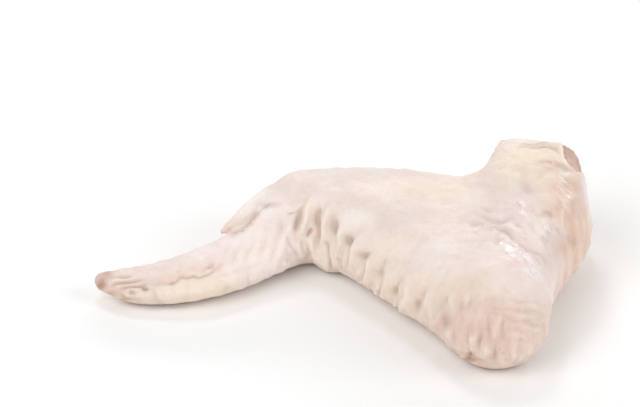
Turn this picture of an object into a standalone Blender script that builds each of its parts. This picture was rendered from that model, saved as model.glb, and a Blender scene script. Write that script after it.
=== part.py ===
# Raw chicken wing, whole: drumette, forearm and hand folded into a Z, with the thumb along the
# leading edge of the hand and the skin web between drumette and forearm.
# It lies on its underside. +Z is up, the elbow points to -Y, the tip to -X, the shoulder cut to +Y.
import math

import bmesh
import bpy
import numpy as np
from mathutils import Matrix

MM = 0.001                      # sizes below are in millimetres

# Grain of the solid
SKIN_VOXEL = 2.2                # size of the quads the skin is made of
CLAY_STEPS = 9                  # rough ellipsoids laid along each limb
RELAX_ROUNDS = 12               # evening-out passes over the quads
PATH_POINTS = 48                # points that stand for a limb's smooth axis
SLOPE_STEP = 0.2                # step over which the slope of the skin is measured

# Limbs. A station is (x, y, z of the axis, half width on the right and on the left of the way
# the limb runs, half height above and below the axis). The axis is a smooth curve through them.
FOREARM = [                     # wrist to elbow, its right is the trailing edge
    (-13.1, 32.4, 9.0, 9.0, 10.8, 9.0, 9.3),
    (0.5, 23.4, 9.9, 10.8, 12.6, 10.3, 10.2),
    (14.8, 7.2, 10.8, 11.7, 14.4, 10.3, 11.1),
    (27.4, -9.0, 11.7, 12.6, 15.3, 10.8, 12.0),
    (39.1, -25.2, 12.6, 11.9, 15.3, 12.6, 13.0),
]
ELBOW = [                       # the thick lobe round the joint
    (36.5, -23.4, 12.6, 10.9, 12.6, 12.6, 13.0),
    (41.4, -28.4, 12.6, 12.6, 13.1, 13.1, 13.3),
    (41.9, -25.2, 12.6, 11.7, 11.7, 12.6, 13.0),
]
DRUM_NECK = [                   # lower drumette, from the elbow to the belly of the muscle
    (43.6, -24.3, 12.6, 9.0, 10.8, 12.6, 13.0),
    (46.8, -13.5, 13.5, 9.5, 11.7, 13.1, 13.8),
    (51.3, 0.9, 15.3, 9.9, 12.6, 13.1, 15.6),
]
DRUM_BELLY = [                  # upper drumette, run on past the shoulder cut
    (53.6, 8.5, 17.0, 11.5, 11.7, 12.4, 14.6),
    (54.0, 15.5, 17.1, 12.8, 12.6, 13.6, 16.8),
    (54.2, 24.3, 17.6, 12.0, 13.9, 13.9, 18.1),
    (54.7, 34.0, 18.0, 10.7, 13.5, 13.4, 18.5),
    (55.4, 47.7, 17.4, 10.2, 13.5, 12.9, 18.0),
]
HAND = [                        # wrist to tip, its right is the leading edge
    (-9.5, 29.7, 9.0, 9.9, 9.9, 8.1, 9.3),
    (-19.4, 20.7, 8.1, 9.0, 9.6, 7.2, 8.4),
    (-29.2, 12.6, 7.2, 8.1, 9.4, 5.9, 7.4),
    (-40.1, 6.4, 6.3, 7.2, 9.6, 5.0, 6.5),
    (-51.8, 3.3, 5.4, 6.3, 7.6, 4.2, 5.6),
    (-59.0, 3.3, 5.2, 5.0, 5.6, 3.5, 4.4),
    (-64.2, 4.4, 5.4, 2.7, 3.2, 2.7, 2.6),
]
THUMB = [                       # free digit on the leading edge, base to claw
    (-15.9, 38.4, 13.2, 3.4, 3.1, 3.2, 3.5),
    (-19.6, 35.6, 13.3, 3.3, 3.0, 3.2, 3.3),
    (-23.4, 30.9, 12.9, 3.1, 2.9, 3.0, 3.2),
    (-26.9, 26.6, 12.2, 2.8, 2.7, 2.8, 3.0),
    (-31.2, 22.4, 11.4, 1.9, 1.9, 2.0, 2.1),
]
WEB_EDGE = [                    # front tendon of the skin web, wrist to shoulder
    (-9.5, 34.2, 12.6, 8.1, 8.1, 6.8, 6.3),
    (3.1, 31.9, 17.0, 12.6, 9.0, 5.4, 5.8),
    (19.4, 28.4, 18.2, 19.8, 9.0, 5.0, 6.0),
    (32.9, 25.7, 18.2, 18.0, 8.1, 5.0, 5.9),
    (46.4, 23.5, 20.4, 10.8, 6.6, 5.0, 5.4),
]
WRIST_FLAP = [                  # bag of loose skin under the front of the wrist
    (-1.4, 25.2, 6.3, 4.5, 4.5, 4.5, 4.5),
    (-3.4, 18.0, 4.5, 3.6, 3.6, 4.0, 4.0),
]
WEB_SHEET = [(0.9, 22.5, 14.0), (39.1, -24.3, 17.6), (51.8, 22.5, 19.8)]
WEB_SHEET_HALF = 4.5            # half thickness of the skin and fat between the limbs
WEB_SHEET_EDGE = 5.4            # rounding of its outline

# How softly each limb runs into what it joins
BLEND_ELBOW = 5.4
BLEND_NECK = 5.4
BLEND_BELLY = 3.6
BLEND_WEB = 9.0
BLEND_HAND = 5.4
BLEND_FLAP = 3.0
BLEND_THUMB = 1.8

BELLY_SQUARE = (4.6, 2.2)       # section over and under the axis: 2 is oval, more is squarer
BELLY_ROLL = math.radians(8)    # the section leans over towards the outer side
BELLY_FRONT = 0.7               # bluntness of the muscle's end towards the elbow
CLAW_LENGTH = 1.5               # how far the thumb runs out to its claw, in half widths

# Shoulder cut
CUT_CENTRE = (54.6, 36.6, 18.0)
CUT_NORMAL = (0.45, 0.88, 0.14)
CUT_EDGE = 1.4                  # rounding of the skin where the knife left it
CUT_RIM = 2.3                   # width of the skin and fat round the bare meat
CUT_DIP = 1.3                   # how far the meat has drawn back behind the skin
BONE_PLACE = (-0.9, -1.4)       # head of the humerus from the middle of the cut, across and up
BONE_RADIUS = 5.4
BONE_RISE = 3.1

# Resting side
REST_EDGE = 1.1                 # rounding where the skin meets the table
REST_SNAP = 0.2                 # what is lower than this lies on the table
REST_FADE = 3.6                 # folds die out within this height above the table

# Feather pits along the trailing edge of the forearm, by distance from the wrist
PIT_ARCS = (14.0, 22.1, 29.2, 36.9, 45.0, 52.6, 61.6, 72.0)
PIT_HEIGHT = (5.9, -1.4)        # height over the axis at the first and at the last pit
PIT_RADIUS = 1.9
PIT_DEPTH = 1.4
SHEATH_RISE = 0.7               # skin bulges over the quills between the pits
SHEATH_REACH = 6.3

# Folds: points on the skin, half width, depth. A negative depth is a raised roll.
FOLDS = {
    "wrist_back": ([(-11.4, 21.0, 17.1), (-12.6, 16.2, 13.6)], 1.4, 1.4),
    "wrist_middle": ([(-6.6, 20.2, 19.1), (-6.6, 17.1, 15.9), (-6.6, 14.7, 11.7)], 1.7, 1.8),
    "wrist_roll": ([(-7.7, 23.3, 20.4), (-9.0, 20.0, 17.4), (-10.2, 17.0, 14.1)], 1.8, -1.2),
    "wrist_front_roll": ([(-4.1, 16.8, 18.2), (-5.2, 13.6, 11.1)], 1.5, -0.9),
    "hand_root": ([(-14.8, 13.1, 12.6), (-12.4, 11.7, 8.5)], 1.3, 1.1),
    "flap_crease": ([(-4.4, 12.6, 10.1), (-3.3, 13.3, 4.4)], 1.2, 1.4),
    "web_long": ([(35.9, 7.0, 23.6), (41.3, -1.5, 24.5), (46.9, -11.7, 26.0),
                  (52.8, -15.4, 22.5)], 1.8, 1.0),
    "web_upper": ([(38.6, 3.6, 23.7), (41.3, 0.5, 24.6), (45.0, -1.4, 26.6)], 1.6, 0.7),
    "belly_edge": ([(48.0, 12.7, 29.9), (52.3, 5.8, 29.2), (55.0, -2.0, 27.2),
                    (59.9, -5.0, 19.6)], 2.3, 1.2),
    "hand_lip": ([(-37.7, -1.2, 9.6), (-43.9, -2.1, 9.3), (-47.9, -2.4, 8.8),
                  (-53.0, -4.0, 7.3), (-60.3, -2.5, 3.6)], 2.0, 0.7),
    "thumb_crease": ([(-20.8, 26.8, 15.6), (-25.1, 24.2, 13.3), (-29.2, 18.0, 12.9)], 1.8, 0.6),
}

# Bumps of skin over the elbow: point, radius, height
BUMPS = [
    ((28.9, -34.9, 11.4), 2.7, 1.0),
    ((34.0, -39.1, 10.8), 2.7, 1.1),
    ((38.6, -40.4, 9.1), 2.7, 1.0),
    ((42.7, -39.5, 6.4), 2.7, 0.9),
    ((26.2, -31.4, 12.9), 2.2, -0.9),
    ((36.3, -40.7, 13.1), 2.3, -0.7),
]

# Cross ridges of the hand, between the wrist and the middle of the hand
HAND_RIDGE_PITCH = 5.6
HAND_RIDGE_RISE = 0.3
HAND_RIDGE_SPAN = (7.2, 32.4)   # from and to, by distance from the wrist

SKIN_COLOUR = (0.86, 0.74, 0.66, 1.0)
SKIN_ROUGHNESS = 0.42


def smooth_path(rows, count):
    """Catmull-Rom curve through the rows, sampled evenly between them."""
    rows = np.asarray(rows, float)
    ends = np.vstack([2 * rows[0] - rows[1], rows, 2 * rows[-1] - rows[-2]])
    place = np.linspace(0, len(rows) - 1, count)
    span = np.minimum(place.astype(int), len(rows) - 2)
    f = (place - span)[:, None]
    a, b, c, d = (ends[span + k] for k in range(4))
    return 0.5 * (2 * b + (c - a) * f + (2 * a - 5 * b + 4 * c - d) * f**2
                  + (3 * b - a - 3 * c + d) * f**3)


def unit(vectors):
    """The vectors at length one."""
    length = np.linalg.norm(vectors, axis=-1, keepdims=True)
    return vectors / np.maximum(length, 1e-9)


def limb(stations):
    """Axis, cross directions and sizes of a limb along its length."""
    rows = smooth_path(stations, PATH_POINTS)
    axis = rows[:, :3]
    ahead = unit(np.gradient(axis, axis=0))
    right = unit(np.cross(ahead, (0.0, 0.0, 1.0)))
    steps = np.linalg.norm(np.diff(axis, axis=0), axis=1)
    return {
        "axis": axis,
        "ahead": ahead,
        "right": right,
        "over": np.cross(right, ahead),
        "size": np.maximum(rows[:, 3:], 0.3),
        "arc": np.concatenate([[0.0], np.cumsum(steps)])[:, None],
    }


def along(shape, points):
    """Where points lie on a limb: arc, offsets right, over and ahead of the axis, sizes there."""
    start = shape["axis"][:-1]
    step = shape["axis"][1:] - start
    length2 = (step * step).sum(1)
    reach = points @ step.T - (start * step).sum(1)
    part = np.clip(reach / length2, 0.0, 1.0)
    far2 = (start * start).sum(1) - 2 * points @ start.T + part * (part * length2 - 2 * reach)
    near = far2.argmin(1)
    f = part[np.arange(len(points)), near][:, None]

    def at(rows):
        return rows[near] * (1 - f) + rows[near + 1] * f

    offset = points - at(shape["axis"])
    right = (offset * at(shape["right"])).sum(1)
    over = (offset * at(shape["over"])).sum(1)
    ahead = (offset * at(shape["ahead"])).sum(1)
    return at(shape["arc"])[:, 0], right, over, ahead, at(shape["size"])


def limb_distance(shape, points, end_cap=1.0, square=(2.0, 2.0), roll=0.0):
    """Roughly how far points are outside a limb of egg-shaped section, negative inside."""
    _, right, over, ahead, size = along(shape, points)
    right, over = (right * math.cos(roll) + over * math.sin(roll),
                   over * math.cos(roll) - right * math.sin(roll))
    wide = np.where(right > 0, size[:, 0], size[:, 1])
    high = np.where(over > 0, size[:, 2], size[:, 3])
    cap = np.minimum(wide, high) * end_cap
    power = np.where(over > 0, square[0], square[1])
    x, y, z = np.abs(right) / wide, np.abs(over) / high, np.abs(ahead) / cap
    level = (x**power + y**power + z**power) ** (1 / power) + 1e-9
    p = power - 1
    slope = np.sqrt((x**p / wide) ** 2 + (y**p / high) ** 2 + (z**p / cap) ** 2)
    return (level - 1) / np.maximum(slope * level ** (1 - power), 1e-3)


def soft_union(a, b, blend):
    """The nearer of two shapes, with a fillet where they meet."""
    h = np.maximum(blend - np.abs(a - b), 0) / blend
    return np.minimum(a, b) - h * h * blend / 4


def soft_cut(a, b, blend):
    """What both shapes share, with a rounded edge."""
    return -soft_union(-a, -b, blend)


def sheet_distance(points, corners, half, edge):
    """Distance from a triangular sheet of skin with a rounded outline."""
    corners = np.asarray(corners, float)
    normal = unit(np.cross(corners[1] - corners[0], corners[2] - corners[0]))
    gap = np.abs((points - corners[0]) @ normal) - half
    for k in range(3):
        side = corners[(k + 1) % 3, :2] - corners[k, :2]
        out = unit(np.array([side[1], -side[0]]))
        gap = soft_cut(gap, (points[:, :2] - corners[k, :2]) @ out, edge)
    return gap


SHAPES = {
    "forearm": limb(FOREARM),
    "elbow": limb(ELBOW),
    "neck": limb(DRUM_NECK),
    "belly": limb(DRUM_BELLY),
    "hand": limb(HAND),
    "thumb": limb(THUMB),
    "web": limb(WEB_EDGE),
    "flap": limb(WRIST_FLAP),
}
CUT_OUT = unit(np.array(CUT_NORMAL))


def wing_distance(points):
    """Distance from the smooth wing: limbs melted together, cut at the shoulder and at the table."""
    gap = limb_distance(SHAPES["forearm"], points)
    gap = soft_union(gap, limb_distance(SHAPES["elbow"], points), BLEND_ELBOW)
    gap = soft_union(gap, limb_distance(SHAPES["neck"], points), BLEND_NECK)
    belly = limb_distance(SHAPES["belly"], points, BELLY_FRONT, BELLY_SQUARE, BELLY_ROLL)
    gap = soft_union(gap, belly, BLEND_BELLY)
    sheet = sheet_distance(points, WEB_SHEET, WEB_SHEET_HALF, WEB_SHEET_EDGE)
    gap = soft_union(gap, sheet, BLEND_WEB)
    gap = soft_union(gap, limb_distance(SHAPES["web"], points), BLEND_WEB)
    gap = soft_union(gap, limb_distance(SHAPES["hand"], points), BLEND_HAND)
    gap = soft_union(gap, limb_distance(SHAPES["flap"], points), BLEND_FLAP)
    thumb = limb_distance(SHAPES["thumb"], points, CLAW_LENGTH)
    gap = soft_union(gap, thumb, BLEND_THUMB)
    gap = soft_cut(gap, (points - np.array(CUT_CENTRE)) @ CUT_OUT, CUT_EDGE)
    return soft_cut(gap, -points[:, 2], REST_EDGE)


def wing_slope(points):
    """Distance from the smooth wing and the way it grows, at points on or near its skin."""
    here = wing_distance(points)
    sides = [wing_distance(points + SLOPE_STEP * side) - here for side in np.eye(3)]
    return here, np.stack(sides, axis=1) / SLOPE_STEP


def settle(points, rounds):
    """Points drawn along the slope onto the skin of the smooth wing."""
    for _ in range(rounds):
        here, slope = wing_slope(points)
        steep = np.maximum((slope * slope).sum(1), 0.2)
        move = np.clip(here / steep, -2.0, 2.0)
        points = points - move[:, None] * slope
    return points


def fade(value, low, high):
    """0 below low, 1 above high, smooth between."""
    t = np.clip((value - low) / (high - low), 0, 1)
    return t * t * (3 - 2 * t)


def line_gap(points, normal, line):
    """Distance along the skin from a line of points on it, and the share of the line passed."""
    line = np.asarray(line, float)
    start = line[:-1]
    step = line[1:] - start
    reach = points[:, None, :] - start
    part = np.clip((reach * step).sum(2) / (step * step).sum(1), 0, 1)
    gap = reach - part[:, :, None] * step
    lift = (gap * normal[:, None, :]).sum(2)
    far2 = (gap * gap).sum(2) - 0.7 * lift * lift
    near = far2.argmin(1)
    rows = np.arange(len(points))
    return np.sqrt(far2[rows, near]), (near + part[rows, near]) / len(start)


def fold_relief(points, normal):
    """Height of the creases and rolls of skin."""
    height = np.zeros(len(points))
    for line, half_width, depth in FOLDS.values():
        gap, share = line_gap(points, normal, line)
        body = 0.35 + 0.65 * np.sin(math.pi * np.clip(share, 0.02, 0.98)) ** 0.5
        height -= depth * body * np.exp(-((gap / half_width) ** 2))
    return height


def bump_relief(points):
    """Height of the soft bumps and hollows over the elbow."""
    height = np.zeros(len(points))
    for place, radius, rise in BUMPS:
        gap2 = ((points - np.array(place)) ** 2).sum(1)
        height += rise * np.exp(-gap2 / radius**2)
    return height


def pit_relief(points):
    """Height of the feather pits along the forearm and of the sheaths between them."""
    arc, right, over, _, _ = along(SHAPES["forearm"], points)
    trailing = fade(right, 5.0, 9.0)
    share = np.clip((arc - PIT_ARCS[0]) / (PIT_ARCS[-1] - PIT_ARCS[0]), 0, 1)
    level = PIT_HEIGHT[0] + (PIT_HEIGHT[1] - PIT_HEIGHT[0]) * share
    height = np.zeros(len(points))
    for place in PIT_ARCS:
        gap2 = ((arc - place) / PIT_RADIUS) ** 2 + ((over - level) / (1.3 * PIT_RADIUS)) ** 2
        height -= PIT_DEPTH * np.exp(-gap2)
    count = np.interp(arc, PIT_ARCS, range(len(PIT_ARCS)))
    under = fade(level + 2.0 - over, 0.0, 3.0) * fade(over - level + SHEATH_REACH, -2.0, 2.0)
    reach = fade(arc, PIT_ARCS[0], PIT_ARCS[1]) * (1 - fade(arc, PIT_ARCS[-2], PIT_ARCS[-1]))
    height -= SHEATH_RISE * np.cos(2 * math.pi * count) * under * reach
    return height * trailing


def hand_relief(points):
    """Height of the shallow ridges that run across the back of the hand."""
    arc, right, over, _, _ = along(SHAPES["hand"], points)
    first, last = HAND_RIDGE_SPAN
    mask = fade(arc, first, first + 5) * (1 - fade(arc, last - 8, last))
    mask = mask * fade(over, 0, 3) * (1 - fade(right, 1, 4))
    wave = np.sin(2 * math.pi * arc / HAND_RIDGE_PITCH)
    return HAND_RIDGE_RISE * wave * mask


def cut_relief(points):
    """Height of the shoulder cut: meat drawn back inside the skin, and the head of the bone."""
    across = unit(np.cross(CUT_OUT, (0.0, 0.0, 1.0)))
    up = np.cross(across, CUT_OUT)
    offset = points - np.array(CUT_CENTRE)
    facing = fade(offset @ CUT_OUT, -1.2, -0.2)
    depth = -limb_distance(SHAPES["belly"], points, square=BELLY_SQUARE, roll=BELLY_ROLL)
    meat = fade(depth, CUT_RIM * 0.6, CUT_RIM * 1.6)
    bone_gap = np.hypot(offset @ across - BONE_PLACE[0], offset @ up - BONE_PLACE[1])
    bone = np.sqrt(np.clip(1 - (bone_gap / BONE_RADIUS) ** 2, 0, 1))
    return facing * (BONE_RISE * bone - CUT_DIP * meat)


def shape_skin(points):
    """The wing's skin: settled on the smooth wing, then given its folds, pits and bumps."""
    points = settle(points, 4)
    normal = unit(wing_slope(points)[1])
    height = (fold_relief(points, normal) + bump_relief(points) + pit_relief(points)
              + hand_relief(points)) * fade(points[:, 2], 0.3, REST_FADE)
    height += cut_relief(points)
    points = points + height[:, None] * normal
    points[:, 2] = np.where(points[:, 2] < REST_SNAP, 0.0, points[:, 2])
    return points


def add_clay(bm, stations):
    """Overlapping ellipsoids along a limb, as rough clay."""
    for row in smooth_path(stations, CLAY_STEPS):
        if (row[:3] - np.array(CUT_CENTRE)) @ CUT_OUT > 0:
            continue
        right, left, above, below = np.maximum(row[3:], 0.8)
        centre = Matrix.Translation((row[0], row[1], row[2] + (above - below) / 2))
        radius = min(right, left)
        size = Matrix.Diagonal((radius, radius, (above + below) / 2, 1.0))
        bmesh.ops.create_uvsphere(bm, u_segments=20, v_segments=12, radius=1.0,
                                  matrix=centre @ size)


def add_sheet_clay(bm):
    """A flat triangle of clay between the forearm and the drumette."""
    half = WEB_SHEET_HALF
    rings = [[bm.verts.new((x, y, z + side)) for x, y, z in WEB_SHEET] for side in (-half, half)]
    bm.faces.new(reversed(rings[0]))
    bm.faces.new(rings[1])
    for k in range(3):
        n = (k + 1) % 3
        bm.faces.new((rings[0][k], rings[0][n], rings[1][n], rings[1][k]))


def rough_wing(collection):
    """The clay of all limbs, melted into one closed skin of even quads."""
    bm = bmesh.new()
    for stations in (FOREARM, ELBOW, DRUM_NECK, DRUM_BELLY, HAND, THUMB, WEB_EDGE, WRIST_FLAP):
        add_clay(bm, stations)
    add_sheet_clay(bm)
    mesh = bpy.data.meshes.new("wing")
    bm.to_mesh(mesh)
    bm.free()
    wing = bpy.data.objects.new("wing", mesh)
    collection.objects.link(wing)
    remesh = wing.modifiers.new("melt", "REMESH")
    remesh.mode = "VOXEL"
    remesh.voxel_size = SKIN_VOXEL
    graph = bpy.context.evaluated_depsgraph_get()
    melted = bpy.data.meshes.new_from_object(wing.evaluated_get(graph))
    wing.modifiers.clear()
    wing.data = melted
    bpy.data.meshes.remove(mesh)
    return wing


def relax(points, edges):
    """Each point moved half way to the middle of its neighbours."""
    total = np.zeros_like(points)
    count = np.zeros(len(points))
    for a, b in ((0, 1), (1, 0)):
        np.add.at(total, edges[:, a], points[edges[:, b]])
        np.add.at(count, edges[:, a], 1)
    return 0.5 * points + 0.5 * total / count[:, None]


def model_skin(wing):
    """The quads evened out over the smooth wing, then pressed into its folds."""
    mesh = wing.data
    points = np.empty(len(mesh.vertices) * 3)
    mesh.vertices.foreach_get("co", points)
    points = points.reshape(-1, 3)
    edges = np.empty(len(mesh.edges) * 2, int)
    mesh.edges.foreach_get("vertices", edges)
    edges = edges.reshape(-1, 2)
    points = settle(points, 3)
    for _ in range(RELAX_ROUNDS):
        points = settle(relax(points, edges), 1)
    points = shape_skin(points)
    low, high = points.min(0), points.max(0)
    points[:, :2] -= (low[:2] + high[:2]) / 2
    mesh.vertices.foreach_set("co", (points * MM).ravel())
    mesh.update()


def triangulate(wing):
    """Quads split along their shorter diagonal, so every face is flat."""
    bm = bmesh.new()
    bm.from_mesh(wing.data)
    bmesh.ops.triangulate(bm, faces=bm.faces, quad_method="SHORT_EDGE")
    bmesh.ops.recalc_face_normals(bm, faces=bm.faces)
    bm.to_mesh(wing.data)
    bm.free()


def skin_material():
    """Pale raw skin, a little wet."""
    material = bpy.data.materials.new("raw_skin")
    material.use_nodes = True
    shader = material.node_tree.nodes["Principled BSDF"]
    shader.inputs["Base Color"].default_value = SKIN_COLOUR
    shader.inputs["Roughness"].default_value = SKIN_ROUGHNESS
    shader.inputs["Metallic"].default_value = 0.0
    return material


def build_wing():
    """The whole wing as one solid, resting on its underside."""
    for old in list(bpy.data.objects):
        bpy.data.objects.remove(old)
    collection = bpy.data.collections.new("chicken_wing")
    bpy.context.scene.collection.children.link(collection)
    wing = rough_wing(collection)
    model_skin(wing)
    triangulate(wing)
    wing.data.materials.append(skin_material())
    wing.data.shade_smooth()


build_wing()
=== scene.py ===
import math
import bpy
import numpy as np
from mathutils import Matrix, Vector


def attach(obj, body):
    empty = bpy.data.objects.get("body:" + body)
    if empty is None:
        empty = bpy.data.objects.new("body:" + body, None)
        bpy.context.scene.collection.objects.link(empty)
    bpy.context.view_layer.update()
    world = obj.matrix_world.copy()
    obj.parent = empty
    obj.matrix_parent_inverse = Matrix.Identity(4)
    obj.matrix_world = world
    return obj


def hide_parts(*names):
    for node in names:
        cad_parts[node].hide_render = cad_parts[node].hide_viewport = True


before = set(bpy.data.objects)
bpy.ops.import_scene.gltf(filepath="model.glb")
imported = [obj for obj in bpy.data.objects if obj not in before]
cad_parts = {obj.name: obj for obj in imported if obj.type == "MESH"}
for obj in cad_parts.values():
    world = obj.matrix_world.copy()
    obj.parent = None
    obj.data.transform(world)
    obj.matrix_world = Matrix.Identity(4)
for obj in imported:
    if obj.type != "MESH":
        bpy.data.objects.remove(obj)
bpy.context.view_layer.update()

mm = 0.001

# Limbs of the wing in millimetres. A station is x, y, z of the axis, half width on the right and
# on the left of the way the limb runs, half height over and under the axis.
limbStations = {
    "forearm": [(-13.1, 32.4, 9.0, 9.0, 10.8, 9.0, 9.3), (0.5, 23.4, 9.9, 10.8, 12.6, 10.3, 10.2),
                (14.8, 7.2, 10.8, 11.7, 14.4, 10.3, 11.1), (27.4, -9.0, 11.7, 12.6, 15.3, 10.8, 12.0),
                (39.1, -25.2, 12.6, 11.9, 15.3, 12.6, 13.0)],
    "elbow": [(36.5, -23.4, 12.6, 10.9, 12.6, 12.6, 13.0), (41.4, -28.4, 12.6, 12.6, 13.1, 13.1, 13.3),
              (41.9, -25.2, 12.6, 11.7, 11.7, 12.6, 13.0)],
    "neck": [(43.6, -24.3, 12.6, 9.0, 10.8, 12.6, 13.0), (46.8, -13.5, 13.5, 9.5, 11.7, 13.1, 13.8),
             (51.3, 0.9, 15.3, 9.9, 12.6, 13.1, 15.6)],
    "belly": [(53.6, 8.5, 17.0, 11.5, 11.7, 12.4, 14.6), (54.0, 15.5, 17.1, 12.8, 12.6, 13.6, 16.8),
              (54.2, 24.3, 17.6, 12.0, 13.9, 13.9, 18.1), (54.7, 34.0, 18.0, 10.7, 13.5, 13.4, 18.5),
              (55.4, 47.7, 17.4, 10.2, 13.5, 12.9, 18.0)],
    "hand": [(-9.5, 29.7, 9.0, 9.9, 9.9, 8.1, 9.3), (-19.4, 20.7, 8.1, 9.0, 9.6, 7.2, 8.4),
             (-29.2, 12.6, 7.2, 8.1, 9.4, 5.9, 7.4), (-40.1, 6.4, 6.3, 7.2, 9.6, 5.0, 6.5),
             (-51.8, 3.3, 5.4, 6.3, 7.6, 4.2, 5.6), (-59.0, 3.3, 5.2, 5.0, 5.6, 3.5, 4.4),
             (-64.3, 4.2, 5.0, 2.5, 2.9, 2.5, 2.4)],
    "thumb": [(-15.9, 38.6, 13.2, 3.0, 2.5, 2.8, 3.1), (-19.6, 35.8, 13.3, 2.7, 2.3, 2.6, 2.7),
              (-23.4, 31.0, 12.8, 2.5, 2.1, 2.4, 2.5), (-26.9, 26.5, 12.1, 2.2, 2.0, 2.1, 2.3),
              (-29.9, 22.9, 11.4, 1.6, 1.5, 1.6, 1.8), (-32.8, 21.0, 10.7, 0.5, 0.5, 0.5, 0.6)],
    "webEdge": [(-9.5, 34.2, 12.6, 8.1, 8.1, 6.8, 6.3), (3.1, 31.9, 17.0, 12.6, 9.0, 5.4, 5.8),
                (19.4, 28.4, 18.2, 19.8, 9.0, 5.0, 6.0), (32.9, 25.7, 18.2, 18.0, 8.1, 5.0, 5.9),
                (46.4, 23.5, 20.4, 10.8, 6.6, 5.0, 5.4)],
    "wristFlap": [(-1.4, 25.2, 6.3, 4.5, 4.5, 4.5, 4.5), (-3.4, 18.0, 4.5, 3.6, 3.6, 4.0, 4.0)],
}
webSheet = {"corners": [(0.9, 22.5, 14.0), (39.1, -24.3, 17.6), (51.8, 22.5, 19.8)],
            "half": 4.5, "edge": 5.4}
# how softly each limb melts into what it joins
melt = {"elbow": 5.4, "neck": 5.4, "belly": 3.6, "webSheet": 9.0, "webEdge": 9.0,
        "hand": 5.4, "wristFlap": 3.0, "thumb": 1.0}
bellySquare = (4.6, 2.2)          # section over and under the axis: 2 is oval, more is squarer
bellyFront = 0.7                  # bluntness of the muscle's end towards the elbow
bellyRoll = math.radians(8)       # the upper arm's section leans over, shown side up
clawLength = 1.6                  # how far the thumb runs out to its claw, in half widths

shoulderCut = {
    "centre": (54.6, 36.6, 18.0),
    "out": (0.45, 0.88, 0.14),    # way the cut faces
    "edge": 0.9,                  # rounding of the skin at the knife's edge
    "rim": 2.0,                   # skin and fat round the bare meat
    "dip": 1.5,                   # meat drawn back behind the skin
    "bone": (-0.9, -1.4),         # head of the upper arm bone, across and up from the centre
    "boneRadius": 5.4,
    "boneRise": 3.6,
    # line in the picture, down and across, from which the skin is torn back off the meat
    "tornDown": (139, 148, 154, 160, 166.5, 172.5, 176),
    "tornAcross": (562.5, 564.5, 565.5, 567, 571, 579, 600),
    "tornDepth": 0.85,
    "tornReach": 11.0,            # how far from the knife cut the bare meat goes
}

skin = {
    "voxel": 0.49,                # grain of the skin's mesh
    "rings": 64,
    "sides": 40,
    "evening": 5,                 # rounds that even the mesh out
    "tableEdge": 1.1,             # rounding where the skin meets the table
    "middle": (0.0621, 1.502, 0.0),   # middle of the outline seen from above
}


def unit(v):
    return v / np.maximum(np.linalg.norm(v, axis=-1, keepdims=True), 1e-9)


def fade(value, low, high):       # 0 under low, 1 over high, smooth between
    t = np.clip((value - low) / (high - low), 0, 1)
    return t * t * (3 - 2 * t)


def smoothPath(rows, count):      # Catmull-Rom curve through the rows, read evenly along it
    rows = np.asarray(rows, float)
    ends = np.vstack([2 * rows[0] - rows[1], rows, 2 * rows[-1] - rows[-2]])
    place = np.linspace(0, len(rows) - 1, count)
    span = np.minimum(place.astype(int), len(rows) - 2)
    f = (place - span)[:, None]
    a, b, c, d = (ends[span + k] for k in range(4))
    return 0.5 * (2 * b + (c - a) * f + (2 * a - 5 * b + 4 * c - d) * f**2
                  + (3 * b - a - 3 * c + d) * f**3)


def makeLimb(stations, count=28):
    rows = smoothPath(stations, count)
    axis = rows[:, :3]
    ahead = unit(np.gradient(axis, axis=0))
    right = unit(np.cross(ahead, (0.0, 0.0, 1.0)))
    steps = np.linalg.norm(np.diff(axis, axis=0), axis=1)
    return {"axis": axis, "ahead": ahead, "right": right, "over": np.cross(right, ahead),
            "size": np.maximum(rows[:, 3:], 0.3), "arc": np.r_[0.0, np.cumsum(steps)][:, None]}


limbs = {name: makeLimb(stations) for name, stations in limbStations.items()}
cutCentre = np.array(shoulderCut["centre"])
cutOut = unit(np.array(shoulderCut["out"]))
farAway = 12.0                    # stands for anything too far off to matter


def alongLimb(limb, points):
    # nearest place on the limb's axis: arc passed, offsets right, over and ahead, sizes there
    start = limb["axis"][:-1]
    step = limb["axis"][1:] - start
    length2 = (step * step).sum(1)
    reach = points @ step.T - (start * step).sum(1)
    part = np.clip(reach / length2, 0.0, 1.0)
    far2 = (start * start).sum(1) - 2 * points @ start.T + part * (part * length2 - 2 * reach)
    near = far2.argmin(1)
    f = part[np.arange(len(points)), near][:, None]
    mix = {k: v[near] * (1 - f) + v[near + 1] * f for k, v in limb.items()}
    offset = points - mix["axis"]
    side, over, ahead = ((offset * mix[k]).sum(1) for k in ("right", "over", "ahead"))
    return mix["arc"][:, 0], side, over, ahead, mix["size"]


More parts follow.
